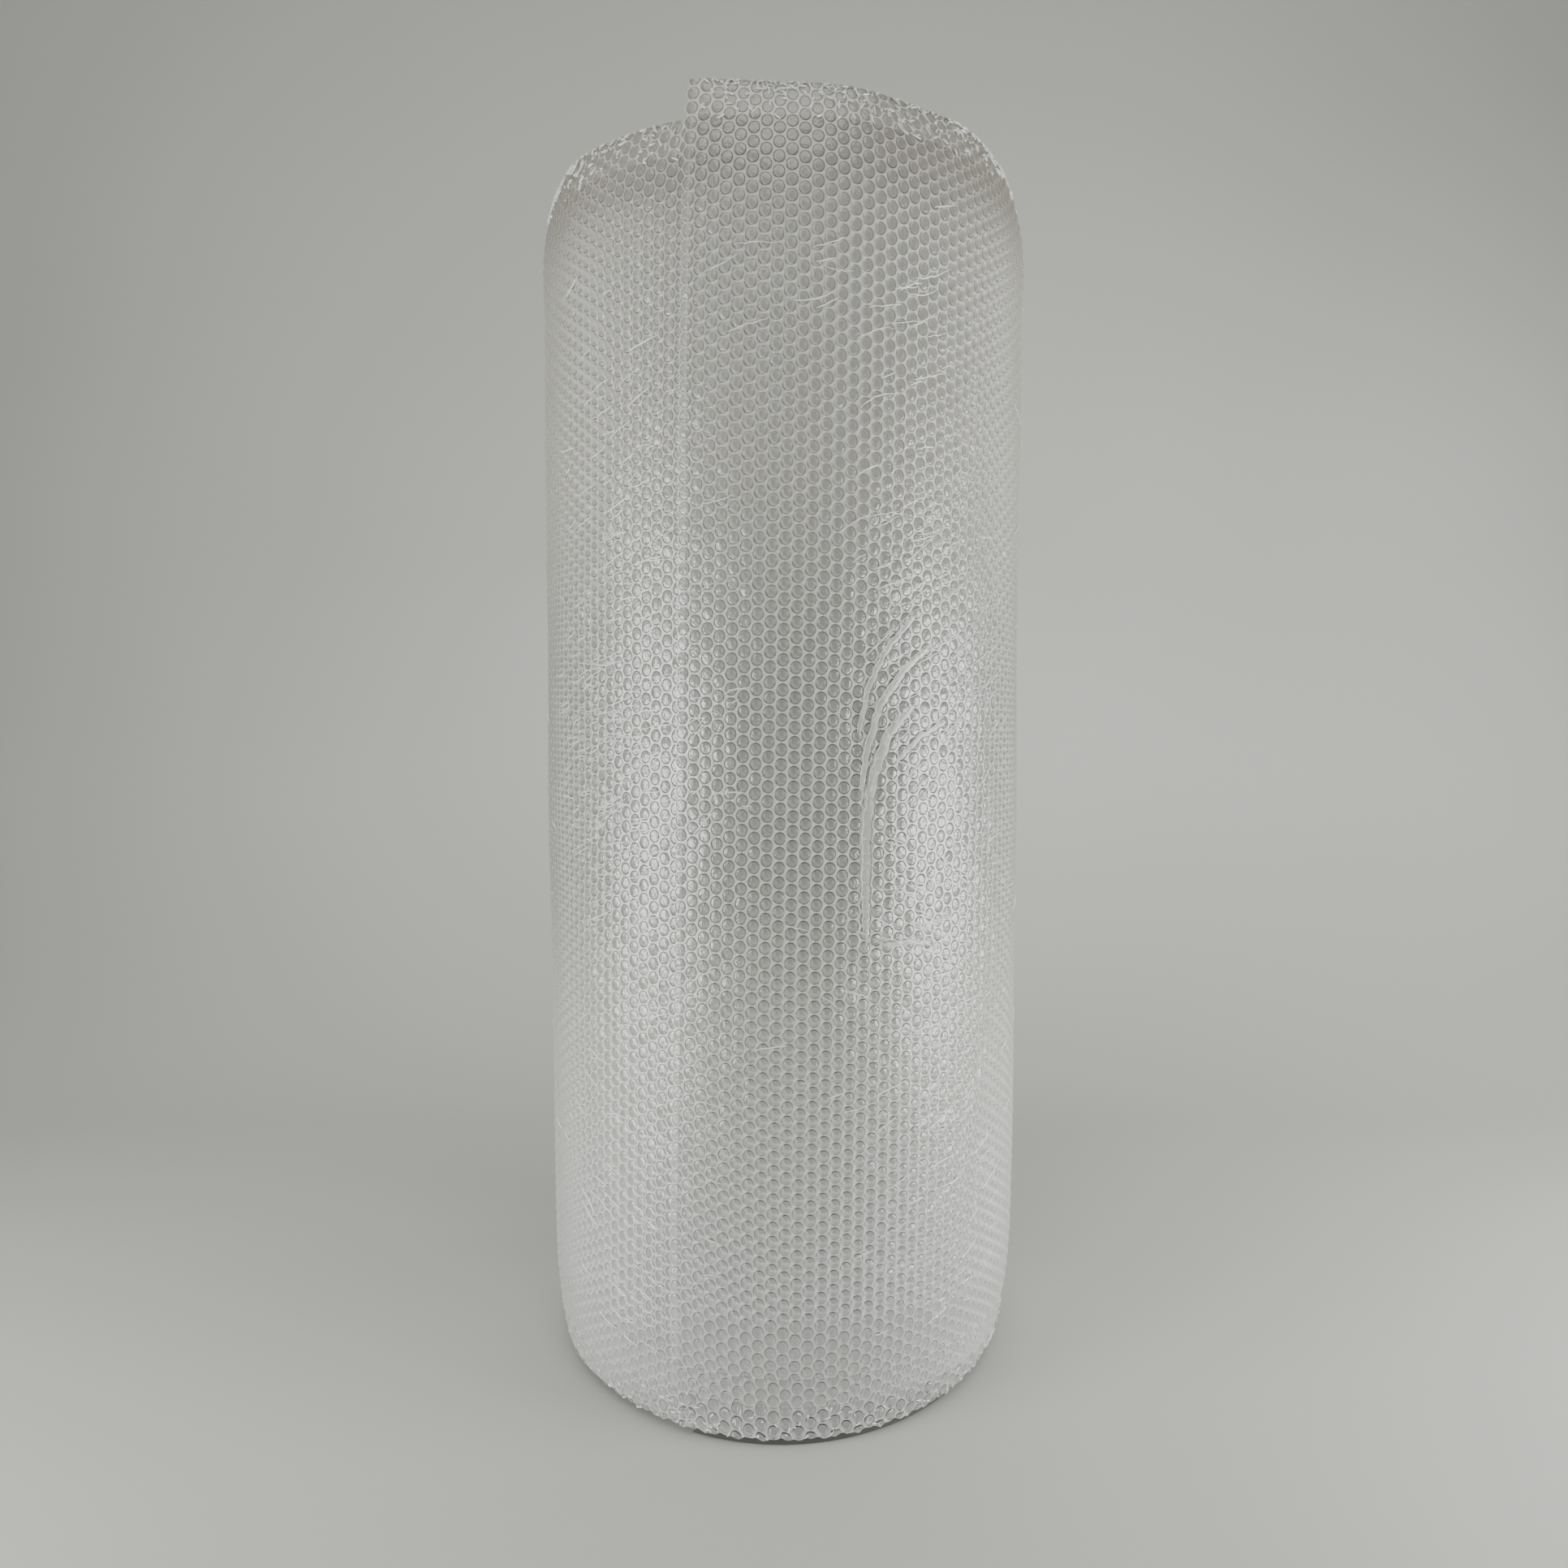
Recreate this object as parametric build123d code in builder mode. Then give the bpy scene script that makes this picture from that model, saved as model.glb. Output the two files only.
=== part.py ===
"""Roll of clear small-bubble cushioning film, standing on its end.

One continuous sheet, about 33 m long, wound on itself without a core. The wound turns are one solid.
The last two turns are loose: they have crept up the roll, so their top edge stands proud of the
wound body and leans in over it, and their bottom edge hangs the same distance above the floor.
Millimetres, +Z up along the winding axis. The origin is on that axis, on the floor.
"""

import os
from math import cos, radians, sin, sqrt

from build123d import *

# Driving dimensions of the sheet and the winding
web_width = 1000.0            # width of the sheet, which is the height of the wound body
hole_radius = 25.0            # open hole left by the winding mandrel
body_radius = 211.0           # tightly wound turns
turn_pitch = 4.5              # radial step from one turn to the next
sheet_thickness = 5.2         # a loose turn beds into the turn below it
loose_turn_count = 2          # outer turns that have crept up the roll
loose_slack = 0.4             # the loose turns stand this far off the tight ones

# Driving dimensions of the loose turns
tail_lift = 60.0              # how far the end of the sheet has crept up
creep_per_turn = 26.0         # how much lower each turn inside it lies
tail_angle = -110.5           # where the end of the sheet lies, at mid height, from +X
tail_slant = 19.0             # sideways run of the cut end over the full width of the sheet
tail_allowance = 4.0          # degrees of the outer turn that the slanted cut trims away
crown_drop = 34.0             # the loose turns start to lean in this far below the body's top
crown_bend_radius = 200.0     # radius of that inward lean

# Lower rim of the wound body, where the outermost tight turns curl in clear of the floor
foot_rise = 7.0
foot_inset = 6.0

# Spiral line that the sheet's edge draws on both ends of the wound body
edge_gap_width = 1.0
edge_gap_depth = 3.0

# Worked out from the above
outer_radius = body_radius + loose_turn_count * turn_pitch + loose_slack
seam_angle = tail_angle - tail_allowance
half_turn_step = turn_pitch / 2
half_turn_drop = creep_per_turn / 2
crown_start = web_width - crown_drop
crown_room = 5.0              # spare height of a turn's section above its cut edge
body_top_inset = crown_bend_radius - sqrt(crown_bend_radius**2 - crown_drop**2)
body_mid_height = web_width - crown_drop / 2
body_mid_inset = crown_bend_radius - sqrt(crown_bend_radius**2 - (crown_drop / 2) ** 2)
top_rim_radius = body_radius - body_top_inset
foot_rim_radius = body_radius - foot_inset


def half_turn_centre(index):
    """Even half turns are centred on the axis and odd ones half a pitch off it, so arcs join smoothly."""
    offset = half_turn_step if index % 2 else 0.0
    far_side = radians(seam_angle + 180)
    return (offset * cos(far_side), offset * sin(far_side))


def edge_plane(index, height):
    """Tilted plane that takes a half turn's edge down by half_turn_drop from its start to its end."""
    centre = half_turn_centre(index)
    start = radians(seam_angle + 180 * index)
    slope = half_turn_drop / 2 / (outer_radius - index * half_turn_step)
    middle = height - half_turn_drop * (index + 0.5)
    return Plane(
        origin=(centre[0], centre[1], middle),
        z_dir=(-slope * cos(start), -slope * sin(start), 1),
    )


def loose_half_turn(index):
    """One half turn of the loose sheet: upright, then leaning in above the crown's start."""
    centre = half_turn_centre(index)
    start = radians(seam_angle + 180 * index)
    outside = outer_radius - index * half_turn_step
    inside = outside - sheet_thickness
    bend_centre = outside - crown_bend_radius
    inner_bend_radius = crown_bend_radius - sheet_thickness
    rise = tail_lift + crown_drop + crown_room
    inner_run = sqrt(inner_bend_radius**2 - rise**2)
    lean_cos = inner_run / inner_bend_radius
    lean_sin = rise / inner_bend_radius
    lean_half_cos = sqrt((1 + lean_cos) / 2)
    lean_half_sin = sqrt((1 - lean_cos) / 2)

    def on_bend(bend_radius, along, up):
        return (bend_centre + bend_radius * along, crown_start + bend_radius * up)

    section_plane = Plane(
        origin=(centre[0], centre[1], 0),
        x_dir=(cos(start), sin(start), 0),
        z_dir=(sin(start), -cos(start), 0),
    )
    with BuildPart() as half_turn:
        with BuildSketch(section_plane):
            with BuildLine():
                Line((inside, 0), (outside, 0))
                Line((outside, 0), (outside, crown_start))
                ThreePointArc(
                    (outside, crown_start),
                    on_bend(crown_bend_radius, lean_half_cos, lean_half_sin),
                    on_bend(crown_bend_radius, lean_cos, lean_sin),
                )
                Line(
                    on_bend(crown_bend_radius, lean_cos, lean_sin),
                    on_bend(inner_bend_radius, lean_cos, lean_sin),
                )
                ThreePointArc(
                    on_bend(inner_bend_radius, lean_cos, lean_sin),
                    on_bend(inner_bend_radius, lean_half_cos, lean_half_sin),
                    (inside, crown_start),
                )
                Line((inside, crown_start), (inside, 0))
            make_face()
        revolve(axis=Axis((centre[0], centre[1], 0), (0, 0, 1)), revolution_arc=180)
        split(bisect_by=edge_plane(index, web_width + tail_lift), keep=Keep.BOTTOM)
        split(bisect_by=edge_plane(index, tail_lift), keep=Keep.TOP)
        if index == 0:
            split(bisect_by=tail_plane(), keep=Keep.TOP)
    return half_turn.part


def tail_plane():
    """Cut end of the sheet: square to the crept turn, so its top lies further round than its foot."""
    tail = radians(tail_angle)
    return Plane(
        origin=(outer_radius * cos(tail), outer_radius * sin(tail), tail_lift + web_width / 2),
        z_dir=(-sin(tail), cos(tail), -tail_slant / web_width),
    )


def turn_gap(index, rim_radius):
    """Half a turn of the gap between the sheet's turns, as it shows on an end of the wound body."""
    centre = half_turn_centre(index)
    start = seam_angle + 180 * (index % 2)
    gap_outside = rim_radius - (index + 1) * half_turn_step
    with BuildSketch() as gap:
        with BuildLine():
            outer_arc = CenterArc(centre, gap_outside, start, 180)
            inner_arc = CenterArc(centre, gap_outside - edge_gap_width, start, 180)
            Line(outer_arc @ 0, inner_arc @ 0)
            Line(outer_arc @ 1, inner_arc @ 1)
        make_face()
    return gap.sketch


def end_gaps(rim_radius):
    """The gaps that show on one end, from half a pitch inside its rim to the winding hole."""
    half_turns_shown = int((rim_radius - hole_radius) / half_turn_step) - 2
    return [turn_gap(index, rim_radius) for index in range(half_turns_shown)]


loose_half_turns = [loose_half_turn(index) for index in range(2 * loose_turn_count)]
top_gaps = end_gaps(top_rim_radius)
foot_gaps = end_gaps(foot_rim_radius)

with BuildPart() as bubble_film_roll:
    with BuildSketch(Plane.XZ):
        with BuildLine():
            Polyline(
                (top_rim_radius, web_width),
                (hole_radius, web_width),
                (hole_radius, 0),
                (foot_rim_radius, 0),
                (body_radius, foot_rise),
                (body_radius, crown_start),
            )
            ThreePointArc(
                (body_radius, crown_start),
                (body_radius - body_mid_inset, body_mid_height),
                (top_rim_radius, web_width),
            )
        make_face()
    revolve(axis=Axis.Z)
    with BuildSketch():
        for gap in foot_gaps:
            add(gap)
    extrude(amount=edge_gap_depth, mode=Mode.SUBTRACT)
    with BuildSketch(Plane.XY.offset(web_width)):
        for gap in top_gaps:
            add(gap)
    extrude(amount=-edge_gap_depth, mode=Mode.SUBTRACT)
    for loose_half in loose_half_turns:
        add(loose_half)

bubble_film_roll.part.label = "bubble_film_roll"

os.makedirs("parts", exist_ok=True)
export_step(bubble_film_roll.part, "parts/bubble_film_roll.step")
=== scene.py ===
import math

import bmesh
import bpy
import numpy as np
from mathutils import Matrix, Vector


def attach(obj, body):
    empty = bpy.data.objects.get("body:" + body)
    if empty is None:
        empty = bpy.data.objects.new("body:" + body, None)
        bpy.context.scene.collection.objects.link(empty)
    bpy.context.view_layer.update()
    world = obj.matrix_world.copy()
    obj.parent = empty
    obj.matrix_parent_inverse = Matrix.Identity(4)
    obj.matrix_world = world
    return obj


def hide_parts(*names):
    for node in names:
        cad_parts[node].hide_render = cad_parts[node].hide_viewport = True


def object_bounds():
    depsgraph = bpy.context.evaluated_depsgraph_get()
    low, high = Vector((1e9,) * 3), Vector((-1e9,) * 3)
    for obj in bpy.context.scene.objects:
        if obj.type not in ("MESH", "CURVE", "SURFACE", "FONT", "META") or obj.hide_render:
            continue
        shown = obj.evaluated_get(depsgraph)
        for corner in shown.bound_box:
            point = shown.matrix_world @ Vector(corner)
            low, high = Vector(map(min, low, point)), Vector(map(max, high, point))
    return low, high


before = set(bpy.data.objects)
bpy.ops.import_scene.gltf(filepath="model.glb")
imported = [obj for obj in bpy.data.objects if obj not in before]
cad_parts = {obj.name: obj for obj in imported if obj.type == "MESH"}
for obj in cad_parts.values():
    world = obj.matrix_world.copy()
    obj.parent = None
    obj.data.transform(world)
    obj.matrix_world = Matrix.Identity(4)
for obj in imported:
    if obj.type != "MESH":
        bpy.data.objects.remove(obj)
cad_low, cad_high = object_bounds()


# ---------------------------------------------------------------------------------------------
# The sheet and how it is wound. One web of polyethylene bubble film, 1 m wide, runs from its cut
# end inward round the roll. The last two turns are loose: they climb as they near the cut end, so
# they stand proud of the tight turns at the top, lean in over them, and hang clear of the floor.
# ---------------------------------------------------------------------------------------------
WEB_WIDTH = 1.000
LOOSE_RADIUS = 0.2204
TIGHT_RADIUS = 0.2108
TURN_STEP = 0.0045
TURN_LENGTH = 2 * math.pi * LOOSE_RADIUS
CUT_END_ANGLE = math.radians(-110.5)
CUT_END_SLANT = 0.019
CUT_END_LIFT = cad_high.z - WEB_WIDTH
CLIMB_PER_TURN = 0.026
SKIN_DEPTH = 0.0004           # the outer film lies this far inside LOOSE_RADIUS
LEAN_START = 0.966            # the loose turns bend inward from this height up
LEAN_RADIUS = 0.200
FREE_END_REACH = 0.05         # the lean is halved at the cut end and comes back over this length
SWAY, SMALL_SWAY = 0.0007, 0.0005
RUFFLE, RUFFLE_RISE = 0.0016, 0.09
TUCK, TUCK_HEIGHT = 0.004, 0.060
FOOT_GAP = 0.006              # the outermost tight turn ends this far above the floor
FOOT_CURL, FRONT_FLARE, CURL_HEIGHT = 0.010, 0.015, 0.030
FRONT_FRAY, FRAY, FRAY_HEIGHT = 0.001, 0.0018, 0.02


def wind_loose(along, depth, up):
    """Places points of the loose turns: metres along the sheet from its cut end, into it, and up it."""
    up = np.clip(up, 0.0, WEB_WIDTH)
    turned = (along + CUT_END_SLANT * (up / WEB_WIDTH - 0.5)) / LOOSE_RADIUS
    height = up + CUT_END_LIFT - CLIMB_PER_TURN * along / TURN_LENGTH
    above = np.clip(height - LEAN_START, 0.0, None)
    upright = 1 - 0.5 * np.exp(-np.clip(along, 0.0, None) / FREE_END_REACH)
    lean = (LEAN_RADIUS - np.sqrt(LEAN_RADIUS**2 - above**2)) * upright
    sway = SWAY * np.sin(3 * turned + 9 * height) + SMALL_SWAY * np.sin(7 * turned - 21 * height)
    ruffle = RUFFLE * np.sin(11 * turned + 1.3) * np.clip(above / RUFFLE_RISE, 0.0, 1.0) ** 2
    tuck = TUCK * np.clip(1 - up / TUCK_HEIGHT, 0.0, 1.0) ** 2
    wound_in = TURN_STEP * turned / (2 * math.pi)
    radius = LOOSE_RADIUS - SKIN_DEPTH - wound_in - depth - lean - tuck + sway + ruffle
    angle = CUT_END_ANGLE + turned
    return np.stack([radius * np.cos(angle), radius * np.sin(angle), height], axis=1)


def wind_tight(along, depth, up):
    """Places points of the outermost tight turn, whose foot curls in, but flares out at the front."""
    up = np.clip(up, 0.0, WEB_WIDTH)
    angle = CUT_END_ANGLE + along / TIGHT_RADIUS
    front = (0.5 - 0.5 * np.sin(angle)) ** 8
    curl = (FOOT_CURL - FRONT_FLARE * front) * np.clip(1 - up / CURL_HEIGHT, 0.0, 1.0) ** 2
    frayed = FRONT_FRAY * front + FRAY * np.sin(97 * angle) * np.sin(41 * angle)
    near_edge = np.clip(1 - up / FRAY_HEIGHT, 0.0, 1.0)
    height = FOOT_GAP + up * (1 - FOOT_GAP / WEB_WIDTH) + frayed * near_edge
    radius = TIGHT_RADIUS - depth - curl
    return np.stack([radius * np.cos(angle), radius * np.sin(angle), height], axis=1)


def wind_piece(piece, winding):
    """Keeps the flat sheet's own coordinates as a UV map, then winds the flat mesh on to the roll."""
    mesh = piece.data
    flat = np.empty(len(mesh.vertices) * 3)
    mesh.vertices.foreach_get("co", flat)
    flat = flat.reshape(-1, 3)
    corners = np.empty(len(mesh.loops), dtype=np.int64)
    mesh.loops.foreach_get("vertex_index", corners)
    sheet_map = mesh.uv_layers.new(name="sheet")
    sheet_map.data.foreach_set("uv", flat[corners][:, [0, 2]].ravel())
    mesh.vertices.foreach_set("co", winding(flat[:, 0], flat[:, 1], flat[:, 2]).ravel())
    mesh.update()


# ---------------------------------------------------------------------------------------------
# The formed bubble layer. Low-density polyethylene drawn by vacuum into pockets about 10 mm
# across and 4 mm deep, in staggered columns, then welded to a flat film round every pocket. The
# pockets face inward. The welded net between them scatters light, and each pocket looks darker.
# ---------------------------------------------------------------------------------------------
BUBBLE_PITCH = 0.01136
COLUMN_STEP = BUBBLE_PITCH * math.sqrt(3) / 2
RIM_RADIUS = 0.0051
FLOOR_RADIUS = 0.0038
POCKET_DEPTH = 0.0038
LID_RADIUS = 0.0042
LID_DEPTH = -0.0001
LID_BULGE = 0.0010
NARROWED, DRAWN_UP = 0.95, 1.045
JOIN_DISTANCE = 0.00005       # neighbouring tiles are welded along edges closer than this
COLUMNS_PER_TURN = round(TURN_LENGTH / COLUMN_STEP)
ROWS = round(WEB_WIDTH / BUBBLE_PITCH)
EDGE_ROWS = 7
TIGHT_FOOT_ROWS = 5
PRESSED_HEIGHT = 0.53         # the turns are pressed together most at this height


def add_node(tree, kind, settings=None, sockets=None):
    """Adds a node with its settings, and sets or links its input sockets."""
    node = tree.nodes.new(kind)
    for name, value in (settings or {}).items():
        setattr(node, name, value)
    for socket, value in (sockets or {}).items():
        if isinstance(value, bpy.types.NodeSocket):
            tree.links.new(value, node.inputs[socket])
        else:
            node.inputs[socket].default_value = value
    return node


def new_material(name):
    material = bpy.data.materials.new(name)
    material.use_nodes = True
    material.node_tree.nodes.clear()
    return material, material.node_tree


def linear(hex_colour):
    """Turns an sRGB hex colour into the linear values that shaders take."""
    channels = [int(hex_colour[i : i + 2], 16) / 255 for i in (1, 3, 5)]
    return [c / 12.92 if c <= 0.04045 else ((c + 0.055) / 1.055) ** 2.4 for c in channels] + [1.0]


def new_piece(name, vertices, faces, *materials):
    mesh = bpy.data.meshes.new(name)
    mesh.from_pydata([tuple(v) for v in vertices], [], [tuple(f) for f in faces])
    piece = bpy.data.objects.new(name, mesh)
    bpy.context.collection.objects.link(piece)
    for material in materials:
        mesh.materials.append(material)
    return piece


def finish_piece(piece):
    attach(piece, "root")
    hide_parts("bubble_film_roll")


# How the film looks changes up the roll, so each of its materials shares these three amounts:
# slack where the turns lie loose on each other, whose lighter tones are painted light; foot low
# down, whose lighter tones are painted light from the bright floor; and crown where nothing lies
# behind, whose darker tones are painted shade.
height_zones = bpy.data.node_groups.new("height_zones", "ShaderNodeTree")
for name in ("Slack", "Foot", "Crown"):
    height_zones.interface.new_socket(name, in_out="OUTPUT", socket_type="NodeSocketFloat")
object_place = add_node(height_zones, "ShaderNodeTexCoord")
height = add_node(height_zones, "ShaderNodeSeparateXYZ", {}, {0: object_place.outputs["Object"]})
from_pressed = add_node(height_zones, "ShaderNodeMath", {"operation": "SUBTRACT"},
                        {0: height.outputs["Z"], 1: PRESSED_HEIGHT})
from_pressed = add_node(height_zones, "ShaderNodeMath", {"operation": "ABSOLUTE"},
                        {0: from_pressed.outputs[0]})
slack_and_lit_zone = add_node(height_zones, "ShaderNodeMapRange", {"interpolation_type": "SMOOTHSTEP"},
                      {"Value": from_pressed.outputs[0], "From Min": 0.05, "From Max": 0.28})
foot_zone = add_node(height_zones, "ShaderNodeMapRange", {"interpolation_type": "SMOOTHSTEP"},
                     {"Value": height.outputs["Z"], "From Min": 0.45, "From Max": 0.10})
crown_zone = add_node(height_zones, "ShaderNodeMapRange", {"interpolation_type": "SMOOTHSTEP"},
                      {"Value": height.outputs["Z"], "From Min": 0.92, "From Max": 1.03})
add_node(height_zones, "NodeGroupOutput", {},
         {"Slack": slack_and_lit_zone.outputs[0], "Foot": foot_zone.outputs[0], "Crown": crown_zone.outputs[0]})

# Weld: two films pressed into one between the bubbles, which makes it milky.
# Its haze lies in patches of about 26 mm, and its crinkles are about 5 mm apart.
welded_net, tree = new_material("polyethylene_weld_milky")
object_place = add_node(tree, "ShaderNodeTexCoord")
zones = add_node(tree, "ShaderNodeGroup", {"node_tree": height_zones})
haze = add_node(tree, "ShaderNodeTexNoise", {},
                {"Vector": object_place.outputs["Object"], "Scale": 38.0, "Detail": 3.0})
crinkle = add_node(tree, "ShaderNodeTexNoise", {},
                   {"Vector": object_place.outputs["Object"], "Scale": 210.0, "Detail": 3.0,
                    "Roughness": 0.6})
tone = add_node(tree, "ShaderNodeMix", {"data_type": "RGBA"},
                {"Factor": haze.outputs["Fac"], "A": linear("#c6c7c1"), "B": linear("#e0e1dc")})
# Painted light makes the weld lighter at the foot; painted shade makes it darker olive at the crown.
for zone, colour in (("Foot", "#e2e2df"), ("Crown", "#b9b7aa")):
    tone = add_node(tree, "ShaderNodeMix", {"data_type": "RGBA"},
                    {"Factor": zones.outputs[zone], "A": tone.outputs["Result"], "B": linear(colour)})
cover = 0.60
for zone, zone_cover in (("Slack", 0.50), ("Crown", 0.62)):
    cover = add_node(tree, "ShaderNodeMix", {},
                     {"Factor": zones.outputs[zone], "A": cover, "B": zone_cover}).outputs["Result"]
ripple = add_node(tree, "ShaderNodeBump", {},
                  {"Height": crinkle.outputs["Fac"], "Strength": 0.6, "Distance": 0.002})
weld_shader = add_node(tree, "ShaderNodeBsdfPrincipled", {},
                       {"Base Color": tone.outputs["Result"], "Roughness": 0.34, "IOR": 1.80,
                        "Specular IOR Level": 1.0, "Alpha": cover, "Normal": ripple.outputs["Normal"]})
add_node(tree, "ShaderNodeOutputMaterial", {}, {"Surface": weld_shader.outputs[0]})

# Pocket: the drawn, thin film at the bottom of each bubble, with haze in patches of about 48 mm.
pocket_film, tree = new_material("polyethylene_pocket_clear")
object_place = add_node(tree, "ShaderNodeTexCoord")
zones = add_node(tree, "ShaderNodeGroup", {"node_tree": height_zones})
haze = add_node(tree, "ShaderNodeTexNoise", {},
                {"Vector": object_place.outputs["Object"], "Scale": 21.0, "Detail": 2.0})
tone = add_node(tree, "ShaderNodeMix", {"data_type": "RGBA"},
                {"Factor": haze.outputs["Fac"], "A": linear("#939489"), "B": linear("#adaea5")})
# Painted light makes the pockets lighter where slack and at the foot; painted shade darkens them at the
# crown.
for zone, colour in (("Slack", "#cac8be"), ("Foot", "#cecece"), ("Crown", "#89867a")):
    tone = add_node(tree, "ShaderNodeMix", {"data_type": "RGBA"},
                    {"Factor": zones.outputs[zone], "A": tone.outputs["Result"], "B": linear(colour)})
cover = 0.48
for zone, zone_cover in (("Slack", 0.27), ("Crown", 0.62)):
    cover = add_node(tree, "ShaderNodeMix", {},
                     {"Factor": zones.outputs[zone], "A": cover, "B": zone_cover}).outputs["Result"]
pocket_shader = add_node(tree, "ShaderNodeBsdfPrincipled", {},
                         {"Base Color": tone.outputs["Result"], "Roughness": 0.24, "IOR": 1.51,
                          "Alpha": cover})
add_node(tree, "ShaderNodeOutputMaterial", {}, {"Surface": pocket_shader.outputs[0]})

# Wall: the side of each pocket, seen edge on through the lid, whose dark tone is painted shade drawing a
# dark outline round it.
pocket_wall, tree = new_material("polyethylene_pocket_wall")
zones = add_node(tree, "ShaderNodeGroup", {"node_tree": height_zones})
tone = linear("#797a73")
# Painted light makes the walls lighter where slack and at the foot; painted shade darkens them at the
# crown.
for zone, colour in (("Slack", "#98988f"), ("Foot", "#a8a8a3"), ("Crown", "#7c796d")):
    tone = add_node(tree, "ShaderNodeMix", {"data_type": "RGBA"},
                    {"Factor": zones.outputs[zone], "A": tone, "B": linear(colour)}).outputs["Result"]
cover = 0.72
for zone, zone_cover in (("Slack", 0.62), ("Crown", 0.72)):
    cover = add_node(tree, "ShaderNodeMix", {},
                     {"Factor": zones.outputs[zone], "A": cover, "B": zone_cover}).outputs["Result"]
wall_shader = add_node(tree, "ShaderNodeBsdfPrincipled", {},
                       {"Base Color": tone, "Roughness": 0.30, "IOR": 1.51, "Alpha": cover})
add_node(tree, "ShaderNodeOutputMaterial", {}, {"Surface": wall_shader.outputs[0]})

# Lid: the backing film over one bubble, smooth, glossy and pushed out by the air inside.
# Films stacked on each other mirror more than one does, so its index of refraction is raised.
# It is crinkled every 7 mm or so, and slack in waves of about 38 mm.
lid_film, tree = new_material("polyethylene_lid_glossy")
object_place = add_node(tree, "ShaderNodeTexCoord")
zones = add_node(tree, "ShaderNodeGroup", {"node_tree": height_zones})
crinkle = add_node(tree, "ShaderNodeTexNoise", {},
                   {"Vector": object_place.outputs["Object"], "Scale": 140.0, "Detail": 3.0,
                    "Roughness": 0.6})
slack = add_node(tree, "ShaderNodeTexNoise", {},
                 {"Vector": object_place.outputs["Object"], "Scale": 26.0, "Detail": 3.0,
                  "Distortion": 0.8})
tone = add_node(tree, "ShaderNodeMix", {"data_type": "RGBA"},
                {"Factor": slack.outputs["Fac"], "A": linear("#979892"), "B": linear("#b4b5af")})
# Painted light makes the lids lighter where slack and at the foot; painted shade darkens them at the crown.
for zone, colour in (("Slack", "#c8c6bc"), ("Foot", "#cacac9"), ("Crown", "#918e81")):
    tone = add_node(tree, "ShaderNodeMix", {"data_type": "RGBA"},
                    {"Factor": zones.outputs[zone], "A": tone.outputs["Result"], "B": linear(colour)})
crinkle_bump = add_node(tree, "ShaderNodeBump", {},
                        {"Height": crinkle.outputs["Fac"], "Strength": 0.7, "Distance": 0.0022})
slack_bump = add_node(tree, "ShaderNodeBump", {},
                      {"Height": slack.outputs["Fac"], "Strength": 0.5, "Distance": 0.009,
                       "Normal": crinkle_bump.outputs[0]})
cover = 0.40
for zone, zone_cover in (("Slack", 0.32), ("Crown", 0.50)):
    cover = add_node(tree, "ShaderNodeMix", {},
                     {"Factor": zones.outputs[zone], "A": cover, "B": zone_cover}).outputs["Result"]
lid_shader = add_node(tree, "ShaderNodeBsdfPrincipled", {},
                      {"Base Color": tone.outputs["Result"], "Roughness": 0.27, "IOR": 2.00,
                       "Specular IOR Level": 1.0, "Alpha": cover, "Normal": slack_bump.outputs[0]})
add_node(tree, "ShaderNodeOutputMaterial", {}, {"Surface": lid_shader.outputs[0]})

# One cell: a six-sided tile of weld, a pocket sunk into it, and the backing film as its lid, which
# the air inside pushes out a little. Its points are the tile's 6 corners, the rim's 12, the pocket
# floor's 6, the lid's 12 and the lid's middle.
TILE_CORNER = BUBBLE_PITCH / math.sqrt(3)
FIRST_RIM, FIRST_FLOOR, FIRST_LID, LID_MIDDLE = 6, 18, 24, 36
sixth = math.pi / 3
cell_points = [(TILE_CORNER * math.cos(k * sixth), 0.0, TILE_CORNER * math.sin(k * sixth))
               for k in range(6)]
for radius, depth, corners in (
    (RIM_RADIUS, 0.0, 12), (FLOOR_RADIUS, POCKET_DEPTH, 6), (LID_RADIUS, LID_DEPTH, 12),
):
    cell_points += [(NARROWED * radius * math.cos(k * 6 / corners * sixth), depth,
                     DRAWN_UP * radius * math.sin(k * 6 / corners * sixth)) for k in range(corners)]
cell_points.append((0.0, -LID_BULGE, 0.0))
weld_faces, pocket_faces = [], []
for k in range(6):
    after = (k + 1) % 6
    rim, rim_mid, rim_next = FIRST_RIM + 2 * k, FIRST_RIM + 1 + 2 * k, FIRST_RIM + 2 * after
    floor, floor_next = FIRST_FLOOR + k, FIRST_FLOOR + after
    weld_faces += [(k, rim, rim_mid), (k, rim_mid, after), (after, rim_mid, rim_next)]
    pocket_faces += [(rim, floor, rim_mid), (rim_mid, floor, floor_next), (rim_mid, floor_next, rim_next)]
pocket_floor = tuple(reversed(range(FIRST_FLOOR, FIRST_LID)))
lid_faces = [(FIRST_LID + k, FIRST_LID + (k + 1) % 12, LID_MIDDLE) for k in range(12)]
cell = new_piece("bubble_cell", cell_points, weld_faces + pocket_faces + [pocket_floor] + lid_faces,
                 welded_net, pocket_wall, pocket_film, lid_film)
cell_films = [0] * len(weld_faces) + [1] * len(pocket_faces) + [2] + [3] * len(lid_faces)
for face, film in zip(cell.data.polygons, cell_films):
    face.material_index = film
    face.use_smooth = film > 0

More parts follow.
